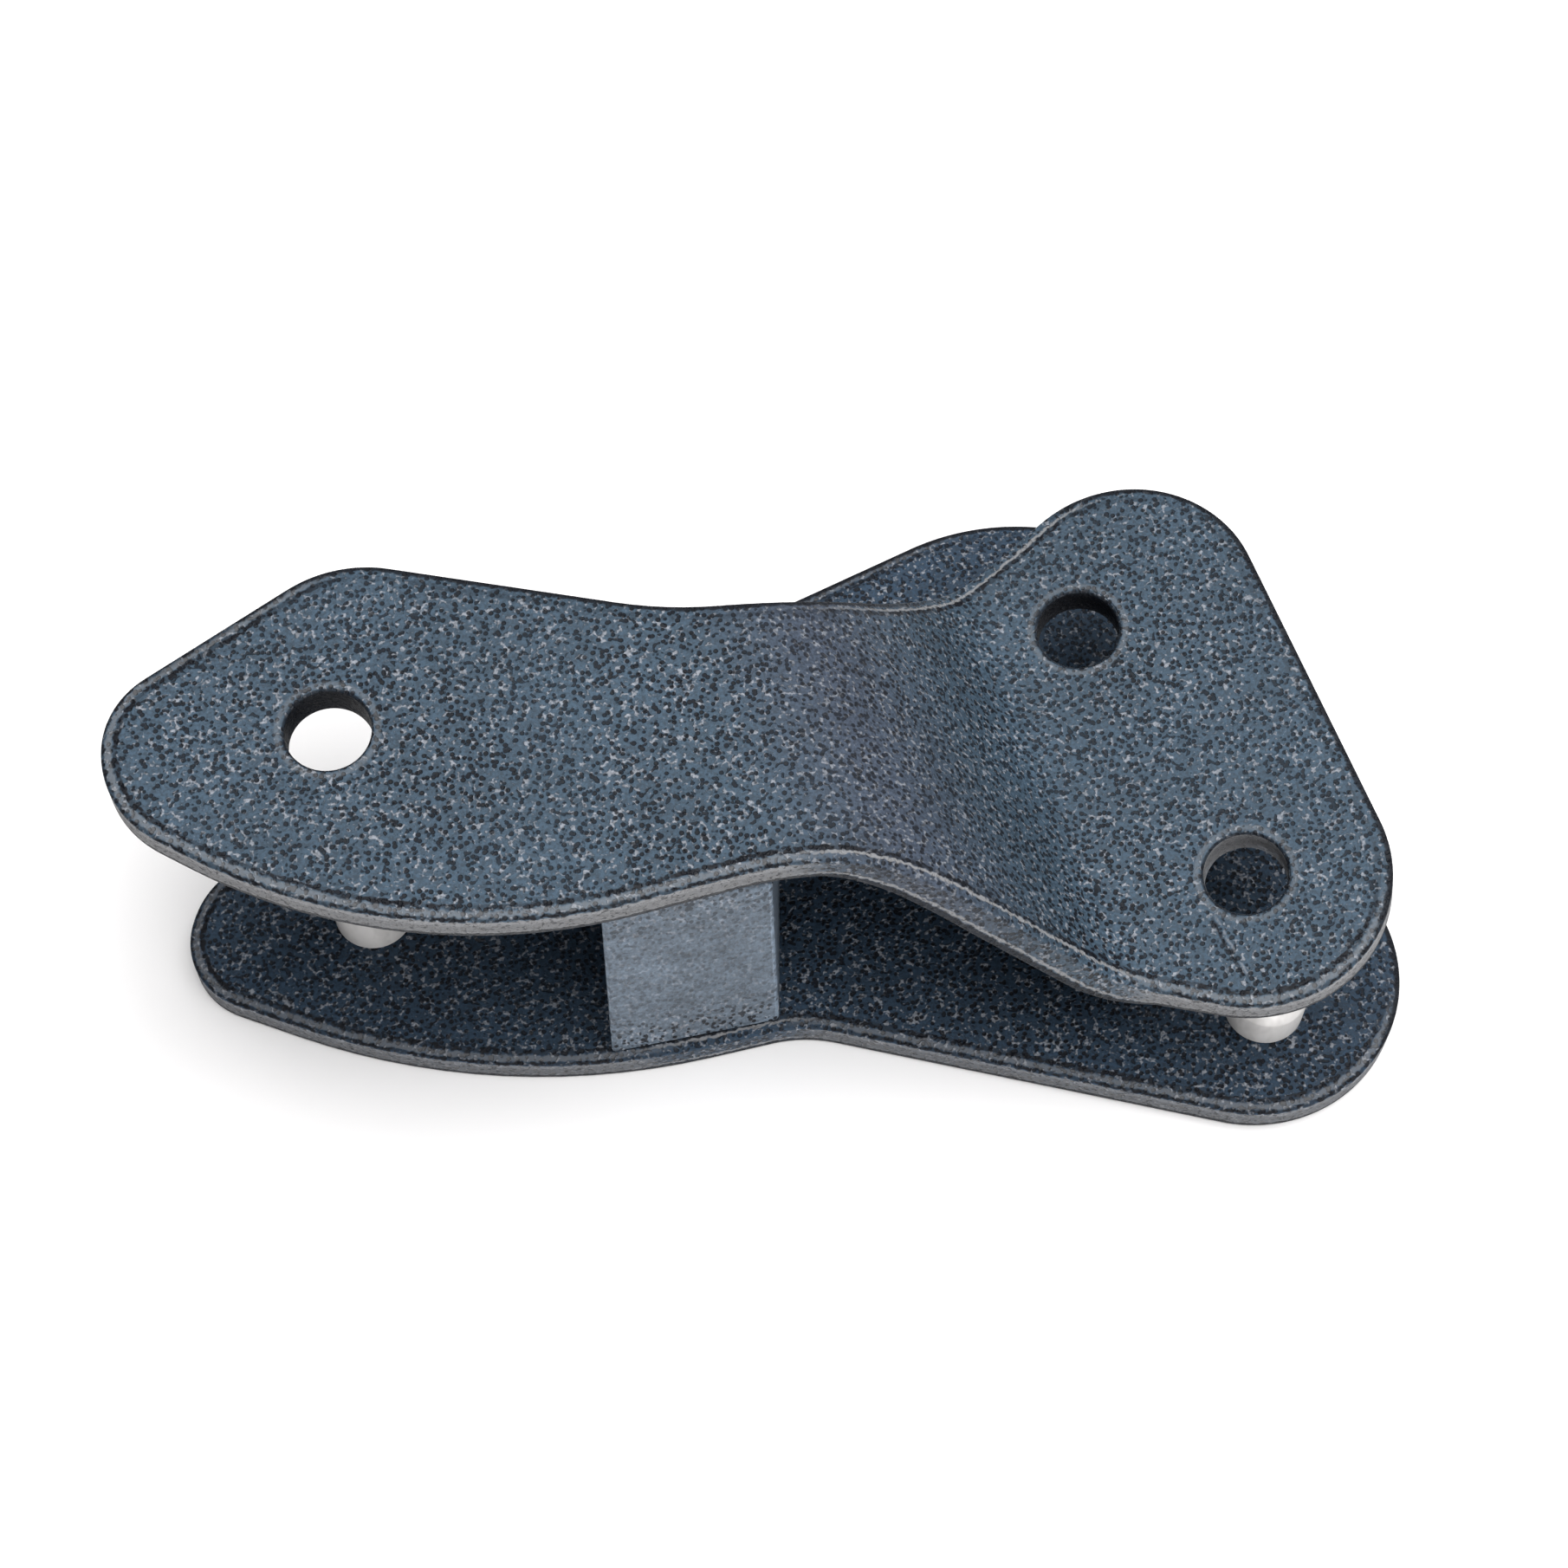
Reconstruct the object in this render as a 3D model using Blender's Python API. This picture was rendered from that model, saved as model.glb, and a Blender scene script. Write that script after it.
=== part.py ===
"""Twin-plate hand castanets: a rocking upper clapper on a spine block over a flat lower clapper.

Metres, +Z up, +X towards the wide lobe, -Y towards the player.  The origin is the centre of the
footprint, on the underside of the lower clapper.  All sizes below are in millimetres.
"""

from math import acos, atan2, ceil, cos, pi, radians, sin, tan

import bmesh
import bpy
from mathutils import Matrix, Vector

MM = 0.001

# ---------------------------------------------------------------- driving dimensions (mm)
# Plan outlines: corner x, corner y, fillet radius, clockwise from the narrow tip.
UPPER_OUTLINE = [
    (-74.7, -7.1, 10.2),
    (-50.1, 11.0, 15.0),
    (3.6, 2.1, 46.0),
    (47.5, 42.0, 15.2),
    (79.1, -40.7, 15.9),
    (5.8, -24.6, 42.0),
    (-40.7, -37.8, 66.0),
    (-74.0, -19.9, 12.8),
]
LOWER_OUTLINE = [
    (-69.6, -9.9, 11.0),
    (-45.3, 4.9, 20.0),
    (-22.2, 16.3, 60.0),
    (44.4, 50.6, 29.5),
    (87.1, -46.5, 18.0),
    (3.0, -28.1, 17.0),
    (-33.3, -37.0, 86.0),
    (-72.6, -22.8, 9.2),
]
ARC_STEP = 8.0  # degrees of fillet arc between outline points

PLATE = 4.5  # thickness of both clappers
TOP_ROUND = 0.7  # rounding of a plate's top rim
BOTTOM_BREAK = 0.4  # broken edge of a plate's bottom rim
UPPER_TOP = 48.7  # height of the upper clapper's flat top
UNDERSIDE = UPPER_TOP - PLATE

BEND_ANGLE = 20.0  # plan direction, in degrees from +X, in which the upper clapper drops
BEND_START = -4.5  # distance along that direction at which the drop starts
BEND_SLOPE = 0.98  # fall of its straight stretch
BEND_INTO = 17.0  # length of the curve into that stretch
BEND_OUT = 6.0  # length of the curve out of it
BEND_END = 29.0
RISE_SLOPE = 0.15  # the wide lobe climbs again past the bend
RISE_BLEND = 12.0
BEND_CUTS = 3.0  # spacing of the lines on which the bent plate is divided

HOLE_R = 4.8
HOLE_CHAMFER = 0.35
HOLES = {"left": (-49.6, -10.3), "right_rear": (35.2, 12.8), "right_front": (53.2, -18.8)}

POST_R = 4.75
POST_DOME = 3.4  # height of a post's domed end
POSTS = {
    # x, y, height of the tip
    "left": (-48.9, -13.8, 35.9),
    "right_front": (57.7, -25.9, 13.4),
    "right_rear": (40.2, 7.0, 15.4),
}
POST_BORE_DEPTH = 8.0

M3_R = 1.5
M3_HOLE_R = 1.7
M3_HEAD_R = 2.9
M4_R = 2.0
M4_HOLE_R = 2.25
M4_HEAD_R = 3.9
SOCKET_SHARE = 0.62  # hex socket radius as a share of the shank radius
SOCKET_DEPTH = 1.6
HEAD_SINK = 0.2  # how far a countersunk head sits inside its countersink

GAP = 0.1  # between pieces that meet face to face
FIT = 0.15  # radial gap of a piece in its bore

PIN_X = -10.1
PIN_Z = 38.0
PIN_R = 1.5
PIN_FRONT_Y = -26.4
PIN_REAR_Y = -1.5
BUSH_R = 2.35
SET_SCREW_R = 2.2

EAR_YS = {"front": -23.6, "rear": -5.4}
EAR_THICK = 2.0
EAR_HALF = 3.5
EAR_BOTTOM_R = 4.0
BRACKET_HALF = 3.6
BRACKET_THICK = 1.5
BRACKET_SCREW_YS = {"front": -18.6, "rear": -10.4}
BRACKET_HEAD = 1.3
BRACKET_HEAD_R = 2.6
SOCKET_FLOOR = 0.4  # metal left under a bracket screw's socket
BLIND_DEPTH = 3.4

BLOCK_FOOT = PLATE + GAP
# Plan corners, front left, front right, rear right, rear left, at the foot and at the shoulders.
BLOCK_FOOT_PLAN = [(-19.9, -31.9), (0.0, -27.7), (0.0, 4.4), (-19.9, 4.4)]
BLOCK_TOP_PLAN = [(-19.5, -30.0), (-0.7, -25.8), (-0.7, 4.2), (-19.5, 4.2)]
BLOCK_CREST = 43.4
BLOCK_CREST_HALF = 2.0
BLOCK_SHOULDER_LEFT = 41.9
BLOCK_SHOULDER_RIGHT = 41.4
BLOCK_EDGE = 0.6
CHANNEL_HALF = 5.0
CHANNEL_FLOOR = 40.3
SLOT_HALF = 5.0
SLOT_FLOOR = 33.5
BLOCK_SCREW_YS = {"front": -22.0, "rear": -6.0}
INSERT_R = 3.0
INSERT_HEIGHT = 8.0
BLOCK_SCREW_REACH = 8.6

SPRING_ARM = 6.6  # distance of each spring from the pin
SPRING_Y = -14.5
SPRING_R = 1.4  # radius of the wire's centre line
WIRE_R = 0.22
SPRING_FLOOR = 34.8
SPRING_TURNS = 6
POCKET_R = 1.9

EDGE_BREAK = 0.3  # broken edge of a turned piece
TIP_BREAK = 0.4  # pointed end of a screw
BORE_REST = 0.6  # empty depth of a blind bore past its screw
SOCKET_R = 1.1  # hex socket radius of the small screws
SET_SCREW_LENGTH = 4.0

ROUND = 32  # sides of a small turned piece
CLEAR = 6.0  # how far a cutter runs past the face that it opens

POWDER_COAT = ((0.087, 0.117, 0.159), 0.62, 0.0)
NICKEL = ((0.72, 0.71, 0.70), 0.35, 1.0)
STEEL = ((0.55, 0.55, 0.56), 0.3, 1.0)
BRASS = ((0.72, 0.52, 0.25), 0.32, 1.0)


# ---------------------------------------------------------------- helpers
def clear_scene():
    for item in list(bpy.data.objects):
        bpy.data.objects.remove(item, do_unlink=True)


def finish_material(item, look):
    colour, roughness, metallic = look
    material = bpy.data.materials.new(item.name)
    material.use_nodes = True
    shader = material.node_tree.nodes["Principled BSDF"]
    shader.inputs["Base Color"].default_value = (*colour, 1.0)
    shader.inputs["Roughness"].default_value = roughness
    shader.inputs["Metallic"].default_value = metallic
    item.data.materials.append(material)


def place(item, parent):
    """Parent a piece, whose mesh is in world coordinates, and keep it where it is."""
    item.parent = parent
    item.matrix_parent_inverse = Matrix.Translation(parent.location).inverted()


def mesh_object(name, mesh_data):
    bmesh.ops.recalc_face_normals(mesh_data, faces=mesh_data.faces)
    mesh = bpy.data.meshes.new(name)
    mesh_data.to_mesh(mesh)
    mesh_data.free()
    item = bpy.data.objects.new(name, mesh)
    bpy.context.collection.objects.link(item)
    return item


def smooth(item, angle=35.0):
    item.data.shade_smooth()
    item.data.set_sharp_from_angle(angle=radians(angle))


def as_cutter(item):
    item.hide_render = True
    item.display_type = "WIRE"
    return item


def boolean(item, other, operation="DIFFERENCE"):
    modifier = item.modifiers.new(other.name, "BOOLEAN")
    modifier.operation = operation
    modifier.solver = "EXACT"
    modifier.object = other


def rounded_outline(corners):
    """Points of a closed outline whose corners are filleted with arcs."""
    points = []
    for index, (x, y, radius) in enumerate(corners):
        corner = Vector((x, y))
        before = (Vector(corners[index - 1][:2]) - corner).normalized()
        after = (Vector(corners[(index + 1) % len(corners)][:2]) - corner).normalized()
        half = acos(max(-1.0, min(1.0, before.dot(after)))) / 2.0
        middle = corner + (before + after).normalized() * (radius / sin(half))
        first = corner + before * (radius / tan(half)) - middle
        last = corner + after * (radius / tan(half)) - middle
        start = atan2(first.y, first.x)
        sweep = (atan2(last.y, last.x) - start + pi) % (2 * pi) - pi
        steps = max(2, ceil(abs(sweep) / radians(ARC_STEP)))
        for step in range(steps + 1):
            angle = start + sweep * step / steps
            points.append(middle + radius * Vector((cos(angle), sin(angle))))
    return points


def prism(name, outline, low, high):
    """Closed solid over a plan outline, between two heights."""
    shape = bmesh.new()
    ring = [shape.verts.new((x * MM, y * MM, low * MM)) for x, y in outline]
    face = shape.faces.new(ring)
    extruded = bmesh.ops.extrude_face_region(shape, geom=[face])["geom"]
    raised = [part for part in extruded if isinstance(part, bmesh.types.BMVert)]
    bmesh.ops.translate(shape, vec=(0, 0, (high - low) * MM), verts=raised)
    return mesh_object(name, shape)


def box(name, low, high):
    plan = [(low[0], low[1]), (high[0], low[1]), (high[0], high[1]), (low[0], high[1])]
    return prism(name, plan, low[2], high[2])


def turned(name, profile, at, axis=(0, 0, 1), sides=ROUND):
    """Round solid from (radius, height) points, spun about an axis through the point 'at'."""
    shape = bmesh.new()
    rings = []
    for radius, height in profile:
        if radius == 0.0:
            rings.append([shape.verts.new((0, 0, height * MM))])
        else:
            angles = [2 * pi * side / sides for side in range(sides)]
            around = [(radius * cos(a) * MM, radius * sin(a) * MM, height * MM) for a in angles]
            rings.append([shape.verts.new(point) for point in around])
    pairs = list(zip(rings, rings[1:]))
    if profile[0][0] > 0.0 and profile[-1][0] > 0.0:
        pairs.append((rings[-1], rings[0]))
    for lower, upper in pairs:
        for side in range(sides):
            nxt = (side + 1) % sides
            corners = [lower[side % len(lower)], lower[nxt % len(lower)]]
            corners += [upper[nxt % len(upper)], upper[side % len(upper)]]
            shape.faces.new(list(dict.fromkeys(corners)))
    turn = Vector((0, 0, 1)).rotation_difference(Vector(axis)).to_matrix().to_4x4()
    bmesh.ops.transform(shape, matrix=Matrix.Translation(Vector(at) * MM) @ turn, verts=shape.verts)
    item = mesh_object(name, shape)
    smooth(item)
    return item


def dome(radius, tip, height, steps=7):
    """Profile points of a shallow dome, from its rim to its tip."""
    sphere = (radius * radius + height * height) / (2 * height)
    spread = acos(1.0 - height / sphere)
    angles = [spread * (1 - step / steps) for step in range(steps)]
    rise = [(sphere * sin(a), tip - sphere * (1 - cos(a))) for a in angles]
    return rise + [(0.0, tip)]


# ---------------------------------------------------------------- the bent upper clapper
def ramp(distance, start, length):
    """A slope that grows from 0 to 1 over a length: the climb so far, and the slope itself."""
    past = max(distance - start, 0.0)
    blended = min(past, length)
    return blended * blended / (2 * length) + past - blended, blended / length


def bend_height(distance):
    """Height of the upper clapper's top at a distance along the drop's direction, and its slope."""
    into, into_slope = ramp(distance, BEND_START, BEND_INTO)
    out, out_slope = ramp(distance, BEND_END - BEND_OUT, BEND_OUT)
    rise, rise_slope = ramp(distance, BEND_END, RISE_BLEND)
    height = UPPER_TOP - BEND_SLOPE * (into - out) + RISE_SLOPE * rise
    return height, RISE_SLOPE * rise_slope - BEND_SLOPE * (into_slope - out_slope)


def on_bend(x, y, depth):
    """Point at a depth below the bent top surface, and the surface's normal there."""
    along = Vector((cos(radians(BEND_ANGLE)), sin(radians(BEND_ANGLE)), 0.0))
    height, slope = bend_height(x * along.x + y * along.y)
    normal = (Vector((0, 0, 1)) - along * slope).normalized()
    return Vector((x, y, height)) - normal * depth, normal


def plate_mesh(name, outline):
    """Flat plate from 0 up to its thickness, with its rims rounded."""
    item = prism(name, rounded_outline(outline), 0.0, PLATE)
    shape = bmesh.new()
    shape.from_mesh(item.data)
    for height, width, segments in ((PLATE, TOP_ROUND, 2), (0.0, BOTTOM_BREAK, 1)):
        level = height * MM
        rim = [e for e in shape.edges if all(abs(v.co.z - level) < 1e-6 for v in e.verts)]
        bmesh.ops.bevel(shape, geom=rim, offset=width * MM, segments=segments, affect="EDGES")
    shape.to_mesh(item.data)
    shape.free()
    return item


def make_upper_clapper():
    item = plate_mesh("upper_clapper", UPPER_OUTLINE)
    shape = bmesh.new()
    shape.from_mesh(item.data)
    across = Vector((cos(radians(BEND_ANGLE)), sin(radians(BEND_ANGLE)), 0.0))
    last = BEND_END + RISE_BLEND
    cuts = int((last - BEND_START) / BEND_CUTS) + 1
    for cut in range(cuts + 1):
        line = across * (BEND_START + (last - BEND_START) * cut / cuts) * MM
        everything = shape.verts[:] + shape.edges[:] + shape.faces[:]
        bmesh.ops.bisect_plane(shape, geom=everything, plane_co=line, plane_no=across)
    for vert in shape.verts:
        x, y, z = vert.co / MM
        point, _ = on_bend(x, y, PLATE - z)
        vert.co = point * MM
    bmesh.ops.triangulate(shape, faces=[f for f in shape.faces if len(f.verts) > 4])
    shape.to_mesh(item.data)
    shape.free()
    for place_name, (x, y) in HOLES.items():
        middle, normal = on_bend(x, y, 0.0)
        rim = HOLE_R + HOLE_CHAMFER
        profile = [(0.0, -PLATE - CLEAR), (HOLE_R, -PLATE - CLEAR), (HOLE_R, -HOLE_CHAMFER)]
        profile += [(rim + CLEAR, CLEAR), (0.0, CLEAR)]
        boolean(item, as_cutter(turned("hole_" + place_name, profile, middle, normal, 40)))
    for place_name, y in BRACKET_SCREW_YS.items():
        profile = [(0.0, -CLEAR), (M3_HOLE_R, -CLEAR), (M3_HOLE_R, BLIND_DEPTH), (0.0, BLIND_DEPTH)]
        cutter = turned("blind_" + place_name, profile, (PIN_X, y, UNDERSIDE))
        boolean(item, as_cutter(cutter))
    smooth(item, 30.0)
    finish_material(item, POWDER_COAT)
    return item


# ---------------------------------------------------------------- fixed pieces
def countersink(name, x, y, hole_r, head_r):
    """Cutter for a screw from beneath: a straight hole with a 90 degree countersink."""
    mouth = head_r + HEAD_SINK + FIT
    profile = [(0.0, -CLEAR), (mouth + CLEAR, -CLEAR), (hole_r, mouth - hole_r)]
    profile += [(hole_r, PLATE + CLEAR), (0.0, PLATE + CLEAR)]
    return as_cutter(turned(name, profile, (x, y, 0.0)))


def make_lower_clapper():
    item = plate_mesh("lower_clapper", LOWER_OUTLINE)
    for name, (x, y, _) in POSTS.items():
        boolean(item, countersink("sink_" + name, x, y, M3_HOLE_R, M3_HEAD_R))
    for name, y in BLOCK_SCREW_YS.items():
        boolean(item, countersink("sink_block_" + name, PIN_X, y, M4_HOLE_R, M4_HEAD_R))
    smooth(item, 30.0)
    finish_material(item, POWDER_COAT)
    return item


def make_countersunk_screw(name, x, y, shank_r, head_r, tip):
    """Socket screw whose head lies in the lower clapper and whose shank points up."""
    cone = head_r - shank_r
    profile = [(0.0, HEAD_SINK), (head_r, HEAD_SINK), (shank_r, HEAD_SINK + cone)]
    profile += [(shank_r, tip - TIP_BREAK), (shank_r - TIP_BREAK, tip), (0.0, tip)]
    item = turned(name, profile, (x, y, 0.0))
    socket_profile = hex_profile(shank_r * SOCKET_SHARE, -CLEAR, HEAD_SINK + SOCKET_DEPTH)
    socket = turned(name + "_socket", socket_profile, (x, y, 0.0), sides=6)
    boolean(item, as_cutter(socket))
    finish_material(item, STEEL)
    return item


def hex_profile(radius, low, high):
    return [(0.0, low), (radius, low), (radius, high), (0.0, high)]


def make_post(name, x, y, tip):
    """Domed striker post with a bore in its foot, and the screw that holds it."""
    foot = PLATE + GAP
    rim = tip - POST_DOME
    bore_top = foot + min(POST_BORE_DEPTH, rim - foot - 1.0)
    profile = [(0.0, bore_top), (M3_HOLE_R, bore_top), (M3_HOLE_R, foot)]
    profile += [(POST_R - EDGE_BREAK, foot), (POST_R, foot + EDGE_BREAK)]
    profile += dome(POST_R, tip, POST_DOME)
    item = turned("striker_post_" + name, profile, (x, y, 0.0))
    finish_material(item, NICKEL)
    make_countersunk_screw("post_screw_" + name, x, y, M3_R, M3_HEAD_R, bore_top - BORE_REST)


def block_body():
    """Tapered block with a low roof that leaves the upper clapper room to rock."""
    shape = bmesh.new()
    foot = [shape.verts.new((x * MM, y * MM, BLOCK_FOOT * MM)) for x, y in BLOCK_FOOT_PLAN]
    front_left, front_right, rear_right, rear_left = BLOCK_TOP_PLAN
    ends = []
    for left, right in ((front_left, front_right), (rear_left, rear_right)):
        roof = [(*left, BLOCK_SHOULDER_LEFT)]
        for x in (PIN_X - BLOCK_CREST_HALF, PIN_X + BLOCK_CREST_HALF):
            share = (x - left[0]) / (right[0] - left[0])
            roof.append((x, left[1] + share * (right[1] - left[1]), BLOCK_CREST))
        roof.append((*right, BLOCK_SHOULDER_RIGHT))
        ends.append([shape.verts.new(Vector(point) * MM) for point in roof])
    front, rear = ends
    shape.faces.new([foot[0], foot[1]] + front[::-1])
    shape.faces.new([foot[2], foot[3]] + rear)
    shape.faces.new(foot)
    shape.faces.new([foot[3], foot[0], front[0], rear[0]])
    shape.faces.new([foot[1], foot[2], rear[3], front[3]])
    for step in range(3):
        shape.faces.new([front[step], front[step + 1], rear[step + 1], rear[step]])
    return mesh_object("spine_block", shape)


def make_spine_block():
    item = block_body()
    bevel = item.modifiers.new("edges", "BEVEL")
    bevel.width = BLOCK_EDGE * MM
    bevel.segments = 2
    bevel.limit_method = "ANGLE"
    bevel.angle_limit = radians(60)
    top = BLOCK_CREST + CLEAR
    front_ear, rear_ear = EAR_YS["front"], EAR_YS["rear"]
    low = (PIN_X - CHANNEL_HALF, front_ear, CHANNEL_FLOOR)
    boolean(item, as_cutter(box("channel", low, (PIN_X + CHANNEL_HALF, rear_ear, top))))
    reach = EAR_THICK / 2 + 4 * GAP
    for name, y in EAR_YS.items():
        low = (PIN_X - SLOT_HALF, y - reach, SLOT_FLOOR)
        boolean(item, as_cutter(box("slot_" + name, low, (PIN_X + SLOT_HALF, y + reach, top))))
    for side in (-1, 1):
        profile = hex_profile(POCKET_R, SPRING_FLOOR, top)
        pocket = turned(f"pocket_{side}", profile, (PIN_X + side * SPRING_ARM, SPRING_Y, 0))
        boolean(item, as_cutter(pocket))
    bore = PIN_R + FIT
    seat = SET_SCREW_R + FIT
    profile = [(0.0, PIN_FRONT_Y - GAP), (bore, PIN_FRONT_Y - GAP), (bore, PIN_REAR_Y)]
    profile += [(seat, PIN_REAR_Y), (seat, CLEAR * 2), (0.0, CLEAR * 2)]
    boolean(item, as_cutter(turned("pin_bore", profile, (PIN_X, 0, PIN_Z), (0, 1, 0), 24)))
    for name, y in BLOCK_SCREW_YS.items():
        insert_top = BLOCK_FOOT + INSERT_HEIGHT + 2 * GAP
        tip = PLATE + BLOCK_SCREW_REACH + BORE_REST
        profile = [(0.0, -CLEAR), (INSERT_R + FIT, -CLEAR), (INSERT_R + FIT, insert_top)]
        profile += [(M4_HOLE_R, insert_top), (M4_HOLE_R, tip), (0.0, tip)]
        boolean(item, as_cutter(turned("insert_bore_" + name, profile, (PIN_X, y, 0.0))))
    smooth(item, 30.0)
    finish_material(item, POWDER_COAT)
    return item


def make_insert(name, y):
    low = BLOCK_FOOT + GAP
    high = low + INSERT_HEIGHT
    inner = M4_R + FIT
    profile = [(inner, low), (INSERT_R, low), (INSERT_R, high), (inner, high)]
    item = turned("block_insert_" + name, profile, (PIN_X, y, 0.0))
    finish_material(item, BRASS)
    return item


def make_pin():
    inner = PIN_R - EDGE_BREAK
    profile = [(0.0, PIN_FRONT_Y), (inner, PIN_FRONT_Y), (PIN_R, PIN_FRONT_Y + EDGE_BREAK)]
    profile += [(PIN_R, PIN_REAR_Y - EDGE_BREAK), (inner, PIN_REAR_Y), (0.0, PIN_REAR_Y)]
    item = turned("pivot_pin", profile, (PIN_X, 0, PIN_Z), (0, 1, 0), 24)
    finish_material(item, STEEL)
    return item


def make_set_screw():
    """Socket set screw that closes the pin's bore at the block's rear face."""
    front = PIN_REAR_Y + GAP
    rear = front + SET_SCREW_LENGTH
    inner = SET_SCREW_R - EDGE_BREAK
    profile = [(0.0, front), (inner, front), (SET_SCREW_R, front + EDGE_BREAK)]
    profile += [(SET_SCREW_R, rear - EDGE_BREAK), (inner, rear), (0.0, rear)]
    item = turned("pin_set_screw", profile, (PIN_X, 0, PIN_Z), (0, 1, 0), 24)
    profile = hex_profile(SOCKET_R, rear - SET_SCREW_LENGTH / 2, rear + CLEAR)
    socket = turned("set_socket", profile, (PIN_X, 0, PIN_Z), (0, 1, 0), 6)
    boolean(item, as_cutter(socket))
    finish_material(item, STEEL)
    return item


def make_spring(name, side):
    """Coil spring standing in its pocket, under the upper clapper."""
    low = SPRING_FLOOR + GAP + WIRE_R
    high = UNDERSIDE - GAP - WIRE_R
    per_turn = 14
    curve = bpy.data.curves.new(name, "CURVE")
    curve.dimensions = "3D"
    curve.bevel_depth = WIRE_R * MM
    curve.bevel_resolution = 1
    curve.use_fill_caps = True
    spline = curve.splines.new("POLY")
    count = per_turn * SPRING_TURNS + 1
    spline.points.add(count - 1)
    for index, point in enumerate(spline.points):
        share = index / (count - 1)
        angle = 2 * pi * SPRING_TURNS * share
        x = PIN_X + side * SPRING_ARM + SPRING_R * cos(angle)
        y = SPRING_Y + SPRING_R * sin(angle)
        point.co = (x * MM, y * MM, (low + share * (high - low)) * MM, 1.0)
    item = bpy.data.objects.new(name, curve)
    bpy.context.collection.objects.link(item)
    finish_material(item, STEEL)
    return item


# ---------------------------------------------------------------- pieces that rock
def make_hinge_bracket():
    """U bracket under the upper clapper: a thin base with two ears on the pin."""
    top = UNDERSIDE - GAP
    low = (PIN_X - BRACKET_HALF, EAR_YS["front"] - EAR_THICK / 2, top - BRACKET_THICK)
    high = (PIN_X + BRACKET_HALF, EAR_YS["rear"] + EAR_THICK / 2, top)
    item = box("hinge_bracket", low, high)
    for name, y in EAR_YS.items():
        ear = make_ear("ear_" + name, y, top - BRACKET_THICK / 2)
        boolean(item, as_cutter(ear), "UNION")
    for name, y in BRACKET_SCREW_YS.items():
        profile = hex_profile(M3_HOLE_R, top - BRACKET_THICK - CLEAR, top + CLEAR)
        boolean(item, as_cutter(turned("bracket_hole_" + name, profile, (PIN_X, y, 0.0))))
    profile = hex_profile(BUSH_R + GAP, EAR_YS["front"] - CLEAR, EAR_YS["rear"] + CLEAR)
    boolean(item, as_cutter(turned("bush_seat", profile, (PIN_X, 0, PIN_Z), (0, 1, 0), 32)))
    finish_material(item, STEEL)
    return item


def make_ear(name, y, top):
    """Tab with a half-round lower end about the pin."""
    shape = bmesh.new()
    radius = EAR_HALF
    angles = [pi + pi * step / 16 for step in range(17)]
    side = [(radius * cos(a), PIN_Z - (EAR_BOTTOM_R - radius) + radius * sin(a)) for a in angles]
    side += [(radius, top), (-radius, top)]
    low = [shape.verts.new(((PIN_X + x) * MM, (y - EAR_THICK / 2) * MM, z * MM)) for x, z in side]
    face = shape.faces.new(low)
    extruded = bmesh.ops.extrude_face_region(shape, geom=[face])["geom"]
    far = [part for part in extruded if isinstance(part, bmesh.types.BMVert)]
    bmesh.ops.translate(shape, vec=(0, EAR_THICK * MM, 0), verts=far)
    return mesh_object(name, shape)


def make_bush(name, y):
    half = EAR_THICK / 2
    inner = PIN_R + FIT
    profile = [(inner, -half), (BUSH_R, -half), (BUSH_R, half), (inner, half)]
    item = turned("pivot_bush_" + name, profile, (PIN_X, y, PIN_Z), (0, 1, 0), 32)
    finish_material(item, BRASS)
    return item


def make_bracket_screw(name, y):
    """Low-head screw from beneath, through the bracket into the upper clapper."""
    base = UNDERSIDE - GAP - BRACKET_THICK - GAP
    tip = UNDERSIDE + BLIND_DEPTH - EDGE_BREAK
    head = base - BRACKET_HEAD
    profile = [(0.0, head), (BRACKET_HEAD_R - EDGE_BREAK, head)]
    profile += [(BRACKET_HEAD_R, head + EDGE_BREAK), (BRACKET_HEAD_R, base), (M3_R, base)]
    profile += [(M3_R, tip - EDGE_BREAK), (M3_R - EDGE_BREAK, tip), (0.0, tip)]
    item = turned("bracket_screw_" + name, profile, (PIN_X, y, 0.0), sides=24)
    socket_profile = hex_profile(SOCKET_R, head - CLEAR, base - SOCKET_FLOOR)
    socket = turned("bracket_socket_" + name, socket_profile, (PIN_X, y, 0.0), sides=6)
    boolean(item, as_cutter(socket))
    finish_material(item, STEEL)
    return item


# ---------------------------------------------------------------- assembly
def pivot_empty():
    empty = bpy.data.objects.new("clapper_rock", None)
    empty.location = Vector((PIN_X, (EAR_YS["front"] + EAR_YS["rear"]) / 2, PIN_Z)) * MM
    bpy.context.collection.objects.link(empty)
    return empty


def main():
    clear_scene()
    make_lower_clapper()
    make_spine_block()
    for name, y in BLOCK_SCREW_YS.items():
        tip = PLATE + BLOCK_SCREW_REACH
        make_countersunk_screw("block_screw_" + name, PIN_X, y, M4_R, M4_HEAD_R, tip)
        make_insert(name, y)
    for name, (x, y, tip) in POSTS.items():
        make_post(name, x, y, tip)
    make_pin()
    make_set_screw()
    make_spring("return_spring_left", -1)
    make_spring("return_spring_right", 1)

    rocking = [make_upper_clapper(), make_hinge_bracket()]
    rocking += [make_bush(name, y) for name, y in EAR_YS.items()]
    rocking += [make_bracket_screw(name, y) for name, y in BRACKET_SCREW_YS.items()]
    pivot = pivot_empty()
    for item in rocking:
        place(item, pivot)


main()
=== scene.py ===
"""Looks of the twin-plate hand castanets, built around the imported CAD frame.

Metres, +Z up, +X towards the wide lobe, -Y towards the player.  Sizes named below are in
millimetres, as in the part, and MM turns them into metres.
"""

from math import acos, atan2, ceil, cos, hypot, pi, radians, sin, tan

import bmesh
import bpy
from mathutils import Matrix, Vector


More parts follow.
